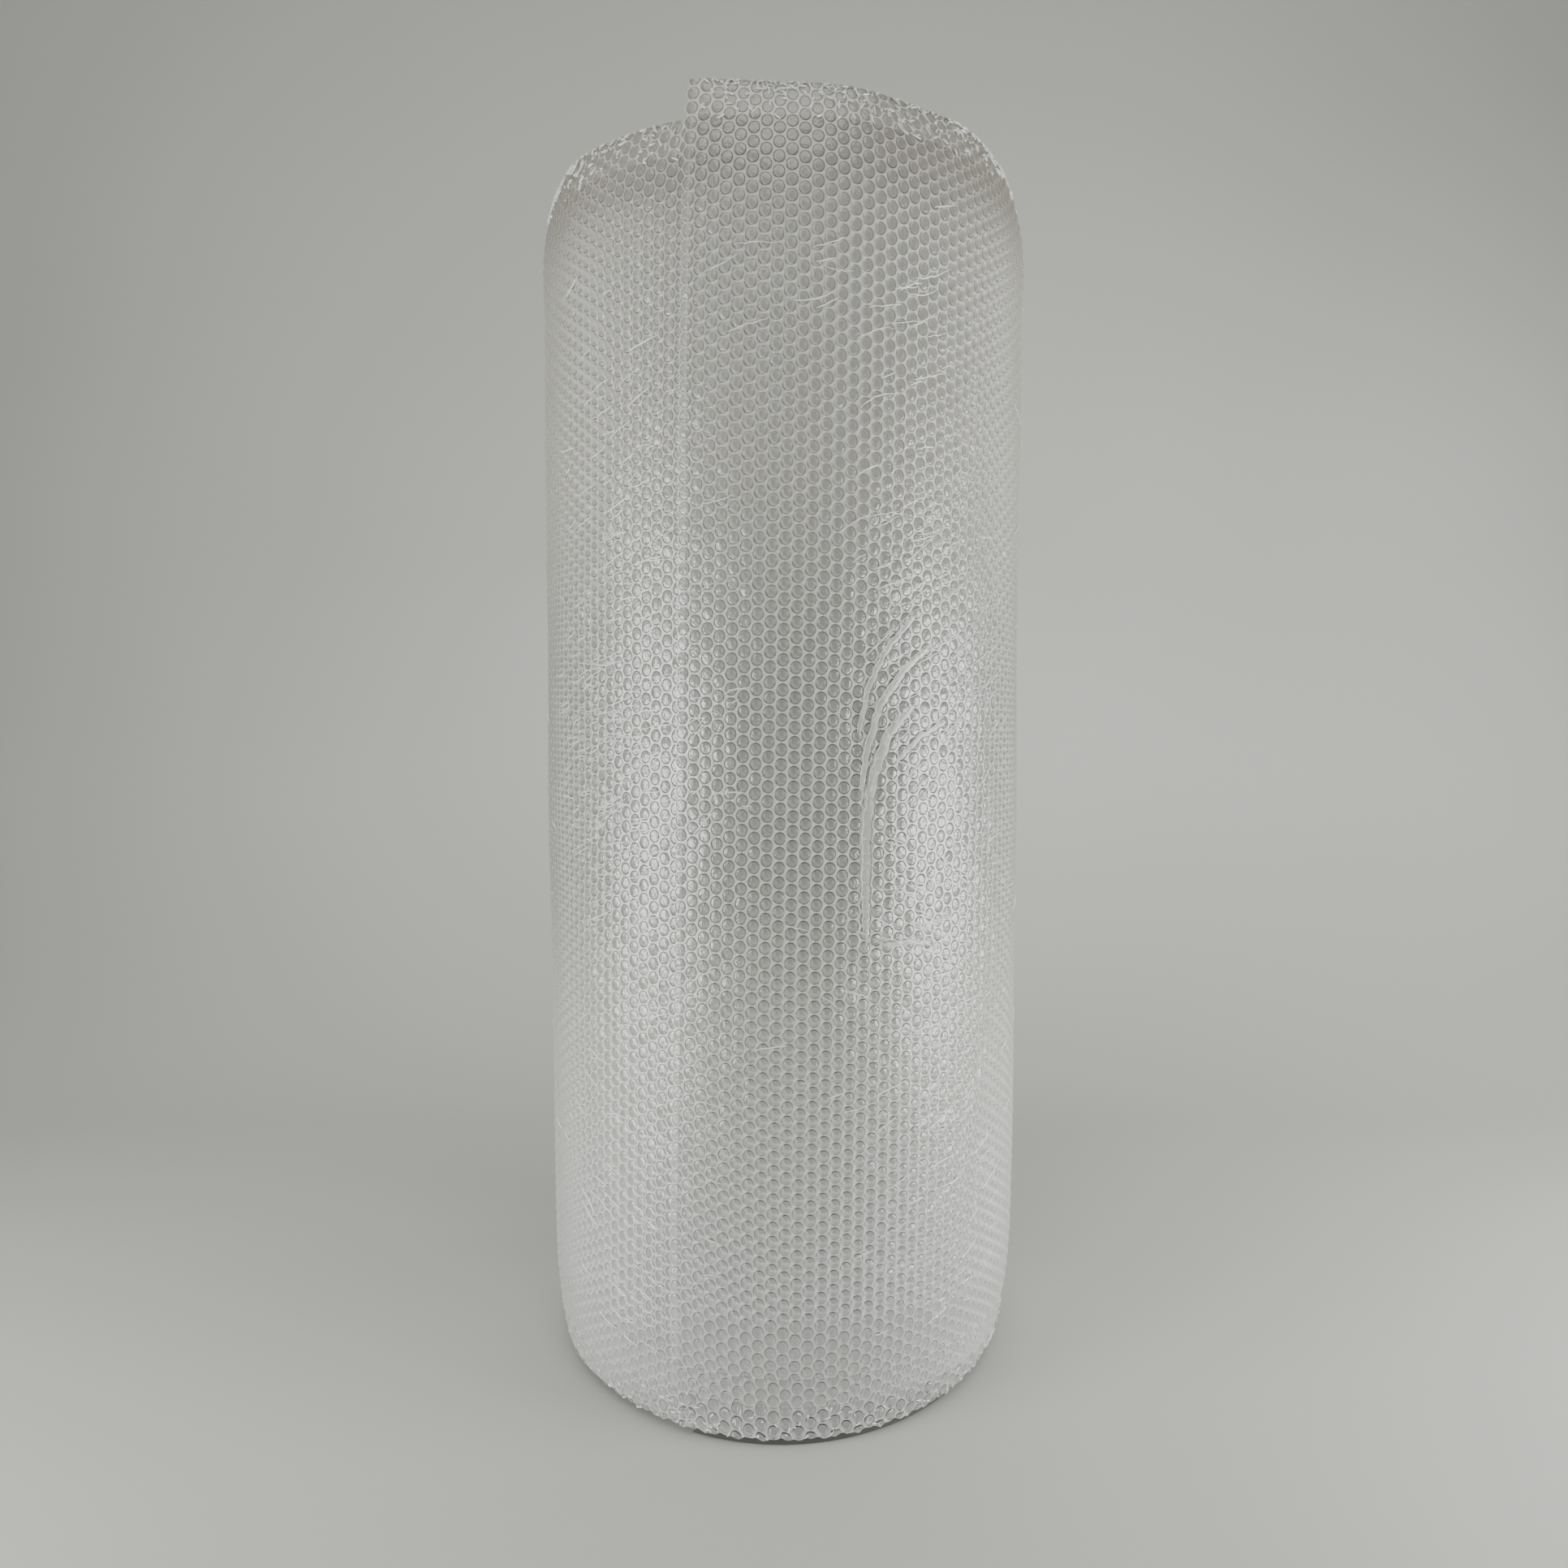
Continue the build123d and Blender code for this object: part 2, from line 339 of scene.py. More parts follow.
# The field of bubbles: staggered columns of cells, set out flat and welded along their edges.
bubble_field = bpy.data.node_groups.new("bubble_field", "GeometryNodeTree")
bubble_field.interface.new_socket("Geometry", in_out="OUTPUT", socket_type="NodeSocketGeometry")
field_sizes = {}
for name, kind in (
    ("Cell", "NodeSocketObject"), ("First column", "NodeSocketInt"), ("Columns", "NodeSocketInt"),
    ("First row", "NodeSocketInt"), ("Rows", "NodeSocketInt"),
    ("Column step", "NodeSocketFloat"), ("Bubble pitch", "NodeSocketFloat"),
):
    field_sizes[name] = bubble_field.interface.new_socket(name, in_out="INPUT", socket_type=kind).identifier
given = add_node(bubble_field, "NodeGroupInput").outputs
count = add_node(bubble_field, "ShaderNodeMath", {"operation": "MULTIPLY"},
                 {0: given["Columns"], 1: given["Rows"]})
points = add_node(bubble_field, "GeometryNodePoints", {}, {"Count": count.outputs[0]})
index = add_node(bubble_field, "GeometryNodeInputIndex")
column = add_node(bubble_field, "ShaderNodeMath", {"operation": "DIVIDE"},
                  {0: index.outputs[0], 1: given["Rows"]})
column = add_node(bubble_field, "ShaderNodeMath", {"operation": "FLOOR"}, {0: column.outputs[0]})
row = add_node(bubble_field, "ShaderNodeMath", {"operation": "MODULO"},
               {0: index.outputs[0], 1: given["Rows"]})
column = add_node(bubble_field, "ShaderNodeMath", {"operation": "ADD"},
                  {0: column.outputs[0], 1: given["First column"]})
row = add_node(bubble_field, "ShaderNodeMath", {"operation": "ADD"},
               {0: row.outputs[0], 1: given["First row"]})
stagger = add_node(bubble_field, "ShaderNodeMath", {"operation": "FLOORED_MODULO"},
                   {0: column.outputs[0], 1: 2.0})
row = add_node(bubble_field, "ShaderNodeMath", {"operation": "MULTIPLY_ADD"},
               {0: stagger.outputs[0], 1: 0.5, 2: row.outputs[0]})
along = add_node(bubble_field, "ShaderNodeMath", {"operation": "MULTIPLY"},
                 {0: column.outputs[0], 1: given["Column step"]})
up = add_node(bubble_field, "ShaderNodeMath", {"operation": "MULTIPLY"},
              {0: row.outputs[0], 1: given["Bubble pitch"]})
place = add_node(bubble_field, "ShaderNodeCombineXYZ", {}, {"X": along.outputs[0], "Z": up.outputs[0]})
placed = add_node(bubble_field, "GeometryNodeSetPosition", {},
                  {"Geometry": points.outputs[0], "Position": place.outputs[0]})
cell_shape = add_node(bubble_field, "GeometryNodeObjectInfo", {}, {"Object": given["Cell"]})
cells = add_node(bubble_field, "GeometryNodeInstanceOnPoints", {},
                 {"Points": placed.outputs[0], "Instance": cell_shape.outputs["Geometry"]})
real_cells = add_node(bubble_field, "GeometryNodeRealizeInstances", {}, {"Geometry": cells.outputs[0]})
joined = add_node(bubble_field, "GeometryNodeMergeByDistance", {},
                  {"Geometry": real_cells.outputs[0], "Distance": JOIN_DISTANCE})
add_node(bubble_field, "NodeGroupOutput", {}, {"Geometry": joined.outputs[0]})


def run_tree(name, tree, sockets):
    """Runs a node tree on an empty object and keeps the result as a plain mesh piece."""
    holder = bpy.data.objects.new(name + "_holder", bpy.data.meshes.new(name + "_holder"))
    bpy.context.collection.objects.link(holder)
    modifier = holder.modifiers.new("made", "NODES")
    modifier.node_group = tree
    for identifier, value in sockets.items():
        modifier[identifier] = value
    holder.update_tag()
    bpy.context.view_layer.update()
    evaluated = holder.evaluated_get(bpy.context.evaluated_depsgraph_get())
    mesh = bpy.data.meshes.new_from_object(evaluated)
    mesh.name = name
    bpy.data.objects.remove(holder)
    piece = bpy.data.objects.new(name, mesh)
    bpy.context.collection.objects.link(piece)
    return piece


def bubble_piece(name, first_column, columns, first_row, rows, winding):
    piece = run_tree(name, bubble_field, {
        field_sizes["Cell"]: cell,
        field_sizes["First column"]: first_column,
        field_sizes["Columns"]: columns,
        field_sizes["First row"]: first_row,
        field_sizes["Rows"]: rows,
        field_sizes["Column step"]: COLUMN_STEP,
        field_sizes["Bubble pitch"]: BUBBLE_PITCH,
    })
    wind_piece(piece, winding)
    finish_piece(piece)


quarter_columns = [round(COLUMNS_PER_TURN * k / 4) for k in range(5)]
for number, (first, last) in enumerate(zip(quarter_columns, quarter_columns[1:])):
    bubble_piece(f"outer_turn_bubbles_{number + 1}", first, last - first, 0, ROWS + 1, wind_loose)
bubble_piece("second_turn_foot_bubbles", COLUMNS_PER_TURN, COLUMNS_PER_TURN, 0, EDGE_ROWS, wind_loose)
bubble_piece("second_turn_crown_bubbles", COLUMNS_PER_TURN, COLUMNS_PER_TURN,
             ROWS + 1 - EDGE_ROWS, EDGE_ROWS, wind_loose)
bubble_piece("tight_turn_foot_bubbles", 0, round(2 * math.pi * TIGHT_RADIUS / COLUMN_STEP),
             0, TIGHT_FOOT_ROWS, wind_tight)
bpy.data.objects.remove(cell)


# ---------------------------------------------------------------------------------------------
# The flat backing film. Clear blown polyethylene, the smooth outer skin of the roll, welded over
# the pockets. Here it is the strip along the cut end and most of the second turn, which shows
# through the first. Over the first turn's bubbles it is the lids of the cells above.
# ---------------------------------------------------------------------------------------------
FILM_GAP = 0.00015
FILM_COLUMNS, FILM_ROWS = 240, 168
CUT_STRIP_WIDTH = 0.002
SECOND_TURN_LOW, SECOND_TURN_HIGH = 0.07, 0.972


def add_bubble_distance(tree):
    """Adds nodes that give how far a point of the sheet lies from the middle of its nearest bubble."""
    sheet = add_node(tree, "ShaderNodeUVMap", {"uv_map": "sheet"})
    distances = []
    for shift in (0.0, 0.5):
        offset = add_node(tree, "ShaderNodeVectorMath", {"operation": "ADD"},
                          {0: sheet.outputs[0], 1: (2 * COLUMN_STEP * shift, BUBBLE_PITCH * shift, 0.0)})
        cell_place = add_node(tree, "ShaderNodeVectorMath", {"operation": "WRAP"},
                              {0: offset.outputs[0], 1: (COLUMN_STEP, BUBBLE_PITCH / 2, 1.0),
                               2: (-COLUMN_STEP, -BUBBLE_PITCH / 2, -1.0)})
        flat_place = add_node(tree, "ShaderNodeVectorMath", {"operation": "MULTIPLY"},
                              {0: cell_place.outputs[0], 1: (1.0, 1.0, 0.0)})
        distances.append(add_node(tree, "ShaderNodeVectorMath", {"operation": "LENGTH"},
                                  {0: flat_place.outputs[0]}).outputs["Value"])
    nearest = add_node(tree, "ShaderNodeMath", {"operation": "MINIMUM"}, {0: distances[0], 1: distances[1]})
    return nearest.outputs[0]


# The skin dimples over each bubble. It is crinkled every 11 mm or so and slack in waves of 71 mm.
backing_film, tree = new_material("polyethylene_backing_film")
dimple = add_node(tree, "ShaderNodeMapRange", {"interpolation_type": "SMOOTHSTEP"},
                  {"Value": add_bubble_distance(tree), "From Min": 0.0022,
                   "From Max": RIM_RADIUS + 0.0006, "To Min": 0.0, "To Max": 1.0})
object_place = add_node(tree, "ShaderNodeTexCoord")
crinkle = add_node(tree, "ShaderNodeTexNoise", {},
                   {"Vector": object_place.outputs["Object"], "Scale": 90.0, "Detail": 4.0,
                    "Roughness": 0.6})
slack = add_node(tree, "ShaderNodeTexNoise", {},
                 {"Vector": object_place.outputs["Object"], "Scale": 14.0, "Detail": 2.0})
dimple_bump = add_node(tree, "ShaderNodeBump", {},
                       {"Height": dimple.outputs[0], "Strength": 0.55, "Distance": 0.0008})
crinkle_bump = add_node(tree, "ShaderNodeBump", {},
                        {"Height": crinkle.outputs["Fac"], "Strength": 0.5, "Distance": 0.0022,
                         "Normal": dimple_bump.outputs[0]})
slack_bump = add_node(tree, "ShaderNodeBump", {},
                      {"Height": slack.outputs["Fac"], "Strength": 0.5, "Distance": 0.010,
                       "Normal": crinkle_bump.outputs[0]})
film_tone = add_node(tree, "ShaderNodeMix", {"data_type": "RGBA"},
                     {"Factor": crinkle.outputs["Fac"], "A": linear("#c9cac6"), "B": linear("#f0f0ee")})
film_shader = add_node(tree, "ShaderNodeBsdfPrincipled", {},
                       {"Base Color": film_tone.outputs["Result"], "Roughness": 0.30, "IOR": 1.51,
                        "Alpha": 0.24, "Specular IOR Level": 1.0, "Normal": slack_bump.outputs[0]})
add_node(tree, "ShaderNodeOutputMaterial", {}, {"Surface": film_shader.outputs[0]})

# The second turn, as it shows through the first: its net pale and its pockets dark, the dark partly painted
# shade standing in for their hollows.
second_film, tree = new_material("polyethylene_second_turn")
weld_mask = add_node(tree, "ShaderNodeMapRange", {"interpolation_type": "SMOOTHSTEP"},
                     {"Value": add_bubble_distance(tree), "From Min": RIM_RADIUS - 0.0009,
                      "From Max": RIM_RADIUS + 0.0002, "To Min": 0.0, "To Max": 1.0})
second_tone = add_node(tree, "ShaderNodeMix", {"data_type": "RGBA"},
                       {"Factor": weld_mask.outputs[0], "A": linear("#6f706a"), "B": linear("#f7f7f5")})
second_bump = add_node(tree, "ShaderNodeBump", {},
                       {"Height": weld_mask.outputs[0], "Strength": 0.6, "Distance": 0.001})
second_shader = add_node(tree, "ShaderNodeBsdfPrincipled", {},
                         {"Base Color": second_tone.outputs["Result"], "Roughness": 0.34, "IOR": 1.51,
                          "Normal": second_bump.outputs[0]})
add_node(tree, "ShaderNodeOutputMaterial", {}, {"Surface": second_shader.outputs[0]})


def film_piece(name, start, length, low, high, columns, rows, winding, film):
    grid = np.stack(np.meshgrid(np.linspace(start, start + length, columns + 1),
                                np.linspace(low, high, rows + 1), indexing="ij"), axis=-1).reshape(-1, 2)
    vertices = np.stack([grid[:, 0], np.full(len(grid), -FILM_GAP), grid[:, 1]], axis=1)
    corner = (np.arange(columns)[:, None] * (rows + 1) + np.arange(rows)[None, :]).ravel()
    faces = np.stack([corner, corner + rows + 1, corner + rows + 2, corner + 1], axis=1)
    piece = new_piece(name, vertices, faces.tolist(), film)
    piece.data.polygons.foreach_set("use_smooth", [True] * len(piece.data.polygons))
    wind_piece(piece, winding)
    finish_piece(piece)


film_piece("cut_end_film", -CUT_STRIP_WIDTH / 2, CUT_STRIP_WIDTH, 0.0, WEB_WIDTH,
           2, FILM_ROWS, wind_loose, backing_film)
film_piece("second_turn_film", TURN_LENGTH, TURN_LENGTH, SECOND_TURN_LOW, SECOND_TURN_HIGH,
           FILM_COLUMNS, FILM_ROWS // 2, wind_loose, second_film)


# ---------------------------------------------------------------------------------------------
# The shaded foot. Turns of the film crushed against the floor never see the light; a dark strip of
# painted shade draws that dark line under the front of the roll, tapering out at both ends.
# ---------------------------------------------------------------------------------------------
FOOT_SHADE_LENGTH = math.radians(66.0) * TIGHT_RADIUS
FOOT_SHADE_HEIGHT = 0.0125
FOOT_SHADE_DEPTH = 0.0040
FLOOR_CLEARANCE = 0.0004

foot_shade, tree = new_material("polyethylene_foot_shaded")
shade_shader = add_node(tree, "ShaderNodeBsdfPrincipled", {},
                        {"Base Color": linear("#42433f"), "Roughness": 0.5, "IOR": 1.51})
add_node(tree, "ShaderNodeOutputMaterial", {}, {"Surface": shade_shader.outputs[0]})


def wind_foot(along, depth, up):
    """Places points just inside the foot of the tight turn, measured up from the floor."""
    places = wind_tight(along, depth + FOOT_SHADE_DEPTH, np.zeros_like(up))
    spread = np.clip(np.sin(math.pi * along / FOOT_SHADE_LENGTH), 0.0, 1.0) ** 0.4
    places[:, 2] = FLOOR_CLEARANCE + up * spread
    return places


film_piece("foot_gap_shade", 0.0, FOOT_SHADE_LENGTH, 0.0, FOOT_SHADE_HEIGHT, 60, 1, wind_foot, foot_shade)


# ---------------------------------------------------------------------------------------------
# The tight turns. Forty-odd turns of the same sheet pressed on each other round an open winding
# hole. Their cut edges show on both ends as one long spiral of flat film and wavy cut bubbles.
# ---------------------------------------------------------------------------------------------
CORE_RADIUS = TIGHT_RADIUS - 0.0044
HOLE_RADIUS = 0.025
EDGE_HEIGHT = 0.006           # the cut edges stand this far out of the solid core
CORE_SEGMENTS = 192
LIP_HEIGHT = 0.0008           # the foot's outermost turns reach down to this height
LIP_BACK, LIP_INSIDE, LIP_OUTSIDE = CORE_RADIUS - 0.0132, CORE_RADIUS - 0.0128, CORE_RADIUS - 0.0108
SHADED_BELOW, SHADED_OUTSIDE = 0.016, 0.19

# The turns seen through each other are grey, with haze in patches of about 17 mm.
wound_turns, tree = new_material("polyethylene_wound_turns")
object_place = add_node(tree, "ShaderNodeTexCoord")
haze = add_node(tree, "ShaderNodeTexNoise", {},
                {"Vector": object_place.outputs["Object"], "Scale": 60.0, "Detail": 3.0})
turn_tone = add_node(tree, "ShaderNodeMix", {"data_type": "RGBA"},
                     {"Factor": haze.outputs["Fac"], "A": linear("#6f706b"), "B": linear("#92938e")})
turn_bump = add_node(tree, "ShaderNodeBump", {},
                     {"Height": haze.outputs["Fac"], "Strength": 0.5, "Distance": 0.001})
turn_shader = add_node(tree, "ShaderNodeBsdfPrincipled", {},
                       {"Base Color": turn_tone.outputs["Result"], "Roughness": 0.4, "IOR": 1.51,
                        "Normal": turn_bump.outputs[0]})
add_node(tree, "ShaderNodeOutputMaterial", {}, {"Surface": turn_shader.outputs[0]})

# The core's section: out from the winding hole along the foot, up, and back over the top.
profile = [
    (HOLE_RADIUS, EDGE_HEIGHT), (LIP_BACK, EDGE_HEIGHT), (LIP_INSIDE, LIP_HEIGHT),
    (LIP_OUTSIDE, LIP_HEIGHT), (CORE_RADIUS - 0.005, 0.020), (CORE_RADIUS, 0.036),
    (CORE_RADIUS, LEAN_START), (CORE_RADIUS - 0.004, WEB_WIDTH - EDGE_HEIGHT),
    (HOLE_RADIUS, WEB_WIDTH - EDGE_HEIGHT),
]
ring_angles = np.linspace(0, 2 * math.pi, CORE_SEGMENTS, endpoint=False)
core_points = [(r * math.cos(a), r * math.sin(a), z) for r, z in profile for a in ring_angles]
core_faces = []
for ring in range(len(profile)):
    following = (ring + 1) % len(profile)
    for k in range(CORE_SEGMENTS):
        after = (k + 1) % CORE_SEGMENTS
        core_faces.append((ring * CORE_SEGMENTS + k, ring * CORE_SEGMENTS + after,
                           following * CORE_SEGMENTS + after, following * CORE_SEGMENTS + k))
wound_core = new_piece("wound_core", core_points, core_faces, wound_turns, foot_shade)
# The faces of the lip at the foot take the same dark film: painted shade.
for face in wound_core.data.polygons:
    at_lip = face.center.z < SHADED_BELOW and math.hypot(*face.center[:2]) > SHADED_OUTSIDE
    face.material_index = 1 if at_lip else 0
shape = bmesh.new()
shape.from_mesh(wound_core.data)
bmesh.ops.recalc_face_normals(shape, faces=shape.faces)
shape.to_mesh(wound_core.data)
shape.free()
finish_piece(wound_core)

# The edge spiral: a spiral curve, pushed in and out where it crosses bubbles, drawn down to ribbons.
edge_spiral = bpy.data.node_groups.new("edge_spiral", "GeometryNodeTree")
edge_spiral.interface.new_socket("Geometry", in_out="OUTPUT", socket_type="NodeSocketGeometry")
spiral_sizes = {}
for name, kind in (
    ("Turns", "NodeSocketFloat"), ("Inner radius", "NodeSocketFloat"), ("Outer radius", "NodeSocketFloat"),
    ("Points", "NodeSocketInt"), ("Wave", "NodeSocketFloat"), ("Wave length", "NodeSocketFloat"),
    ("Height", "NodeSocketFloat"), ("Level", "NodeSocketFloat"), ("Film", "NodeSocketMaterial"),
):
    spiral_sizes[name] = edge_spiral.interface.new_socket(name, in_out="INPUT", socket_type=kind).identifier
given = add_node(edge_spiral, "NodeGroupInput").outputs
spiral = add_node(edge_spiral, "GeometryNodeCurveSpiral", {},
                  {"Resolution": 96, "Rotations": given["Turns"], "Start Radius": given["Inner radius"],
                   "End Radius": given["Outer radius"], "Height": 0.0})
evened = add_node(edge_spiral, "GeometryNodeResampleCurve", {},
                  {"Curve": spiral.outputs[0], "Count": given["Points"]})
length_along = add_node(edge_spiral, "GeometryNodeSplineParameter")
phase = add_node(edge_spiral, "ShaderNodeMath", {"operation": "DIVIDE"},
                 {0: length_along.outputs["Length"], 1: given["Wave length"]})
phase = add_node(edge_spiral, "ShaderNodeMath", {"operation": "MULTIPLY"},
                 {0: phase.outputs[0], 1: 2 * math.pi})
swing = add_node(edge_spiral, "ShaderNodeMath", {"operation": "SINE"}, {0: phase.outputs[0]})
swing = add_node(edge_spiral, "ShaderNodeMath", {"operation": "MULTIPLY_ADD"},
                 {0: swing.outputs[0], 1: 0.5, 2: -0.5})
swing = add_node(edge_spiral, "ShaderNodeMath", {"operation": "MULTIPLY"},
                 {0: swing.outputs[0], 1: given["Wave"]})
where = add_node(edge_spiral, "GeometryNodeInputPosition")
outward = add_node(edge_spiral, "ShaderNodeVectorMath", {"operation": "NORMALIZE"}, {0: where.outputs[0]})
push = add_node(edge_spiral, "ShaderNodeVectorMath", {"operation": "SCALE"},
                {0: outward.outputs[0], "Scale": swing.outputs[0]})
lift = add_node(edge_spiral, "ShaderNodeCombineXYZ", {}, {"Z": given["Level"]})
shift = add_node(edge_spiral, "ShaderNodeVectorMath", {"operation": "ADD"},
                 {0: push.outputs[0], 1: lift.outputs[0]})
waved = add_node(edge_spiral, "GeometryNodeSetPosition", {},
                 {"Geometry": evened.outputs[0], "Offset": shift.outputs[0]})
line = add_node(edge_spiral, "GeometryNodeCurveToMesh", {}, {"Curve": waved.outputs[0]})
drop = add_node(edge_spiral, "ShaderNodeCombineXYZ", {}, {"Z": given["Height"]})
ribbon = add_node(edge_spiral, "GeometryNodeExtrudeMesh", {"mode": "EDGES"},
                  {"Mesh": line.outputs[0], "Offset": drop.outputs[0], "Offset Scale": 1.0})
coated = add_node(edge_spiral, "GeometryNodeSetMaterial", {},
                  {"Geometry": ribbon.outputs[0], "Material": given["Film"]})
add_node(edge_spiral, "NodeGroupOutput", {}, {"Geometry": coated.outputs[0]})

# A cut edge gathers the light that runs along the film, so it is brighter than the film's face.
# Its haze lies in patches of about 22 mm.
cut_edge, tree = new_material("polyethylene_cut_edge")
object_place = add_node(tree, "ShaderNodeTexCoord")
haze = add_node(tree, "ShaderNodeTexNoise", {},
                {"Vector": object_place.outputs["Object"], "Scale": 45.0, "Detail": 2.0})
edge_tone = add_node(tree, "ShaderNodeMix", {"data_type": "RGBA"},
                     {"Factor": haze.outputs["Fac"], "A": linear("#b9bab6"), "B": linear("#ecece9")})
edge_shader = add_node(tree, "ShaderNodeBsdfPrincipled", {},
                       {"Base Color": edge_tone.outputs["Result"], "Roughness": 0.22, "IOR": 1.51})
add_node(tree, "ShaderNodeOutputMaterial", {}, {"Surface": edge_shader.outputs[0]})

# Each end shows a flat film's edge and a wavy one. Rows give the end's level, how far the ribbon runs
# from it into the core, and how far inside the rim it stops.
HOLE_MARGIN = 0.001
WAVE_DEPTH = 0.0036
WAVY_INSET = 0.0003
SUNK = 0.001                  # the ribbons reach this far into the core
turns = (TIGHT_RADIUS - HOLE_RADIUS - HOLE_MARGIN) / TURN_STEP
spiral_length = math.pi * (TIGHT_RADIUS + HOLE_RADIUS) * turns
for end, level, height, inset in (
    ("top", WEB_WIDTH, -EDGE_HEIGHT - SUNK, 0.0042),
    ("foot", 0.0, EDGE_HEIGHT + SUNK, 0.019),
):
    for layer, wave, step in (("flat", 0.0, 0.012), ("wavy", WAVE_DEPTH, COLUMN_STEP / 4)):
        ribbon_piece = run_tree(f"{end}_edge_{layer}", edge_spiral, {
            spiral_sizes["Turns"]: turns,
            spiral_sizes["Inner radius"]: HOLE_RADIUS + HOLE_MARGIN + wave,
            spiral_sizes["Outer radius"]: TIGHT_RADIUS - inset - (WAVY_INSET if wave else 0.0),
            spiral_sizes["Points"]: int(spiral_length / step),
            spiral_sizes["Wave"]: wave,
            spiral_sizes["Wave length"]: COLUMN_STEP,
            spiral_sizes["Height"]: height,
            spiral_sizes["Level"]: level,
            spiral_sizes["Film"]: cut_edge,
        })
        finish_piece(ribbon_piece)


# ---------------------------------------------------------------------------------------------
# Creases in the backing film. Where the slack skin has been folded and pressed flat it keeps
# short raised ridges, mostly running round the roll. Each is a narrow fold of the same film.
# ---------------------------------------------------------------------------------------------
CREASE, GROOVE, FOLD = 0, 1, 2
EDGE_MARGIN, END_MARGIN = 0.03, 0.004
CREASE_WANDER, FOLD_WANDER = 0.0003, 0.0005

# A crease is doubled film, brighter and less clear than the skin, with haze in patches of 8 mm.
crease_film, tree = new_material("polyethylene_crease")
object_place = add_node(tree, "ShaderNodeTexCoord")
haze = add_node(tree, "ShaderNodeTexNoise", {},
                {"Vector": object_place.outputs["Object"], "Scale": 120.0, "Detail": 2.0})
crease_tone = add_node(tree, "ShaderNodeMix", {"data_type": "RGBA"},
                       {"Factor": haze.outputs["Fac"], "A": linear("#cbccc7"), "B": linear("#f4f4f2")})
crease_shader = add_node(tree, "ShaderNodeBsdfPrincipled", {},
                         {"Base Color": crease_tone.outputs["Result"], "Roughness": 0.18, "IOR": 1.80,
                          "Alpha": 0.76})
add_node(tree, "ShaderNodeOutputMaterial", {}, {"Surface": crease_shader.outputs[0]})

# The groove beside a long fold lies in shade, painted on as a dark strip.
groove_film, tree = new_material("polyethylene_groove")
groove_shader = add_node(tree, "ShaderNodeBsdfPrincipled", {},
                         {"Base Color": linear("#74756d"), "Roughness": 0.40, "IOR": 1.51, "Alpha": 0.62})
add_node(tree, "ShaderNodeOutputMaterial", {}, {"Surface": groove_shader.outputs[0]})

# A broad fold is the same clear film pressed smooth, so the bubbles still show faintly through it.
fold_film, tree = new_material("polyethylene_fold_smooth")
fold_shader = add_node(tree, "ShaderNodeBsdfPrincipled", {},
                       {"Base Color": linear("#cfd0cb"), "Roughness": 0.26, "IOR": 1.80, "Alpha": 0.42})
add_node(tree, "ShaderNodeOutputMaterial", {}, {"Surface": fold_shader.outputs[0]})

dice = np.random.default_rng(41)
crease_vertices, crease_faces, crease_films = [], [], []


def crease_piece(name, winding):
    """Makes one piece of the ridges added so far, wound on to the roll, and starts a new list."""
    piece = new_piece(name, crease_vertices, crease_faces, crease_film, groove_film, fold_film)
    piece.data.polygons.foreach_set("material_index", crease_films)
    piece.data.polygons.foreach_set("use_smooth", [True] * len(crease_faces))
    wind_piece(piece, winding)
    finish_piece(piece)
    for gathered in (crease_vertices, crease_faces, crease_films):
        gathered.clear()


def add_crease(path, width, rise, film=CREASE):
    """Adds one ridge along a path of flat sheet points; it is widest and highest in its middle."""
    first = len(crease_vertices)
    steps = len(path)
    for k, (along, up) in enumerate(path):
        before, after = path[max(k - 1, 0)], path[min(k + 1, steps - 1)]
        run, climb = after[0] - before[0], after[1] - before[1]
        size = math.hypot(run, climb) or 1.0
        side = (-climb / size, run / size)
        swell = math.sin(math.pi * (k + 0.25) / (steps - 0.5)) ** 0.5
        for across, high in ((-0.5, 0.0), (0.0, 1.0), (0.5, 0.0)):
            crease_vertices.append((
                along + side[0] * across * width * swell,
                -LID_BULGE * 0.6 - high * rise * swell,
                up + side[1] * across * width * swell,
            ))
        if k:
            start = first + 3 * (k - 1)
            crease_faces.append((start, start + 3, start + 4, start + 1))
            crease_faces.append((start + 1, start + 4, start + 5, start + 2))
            crease_films.extend((film, film))


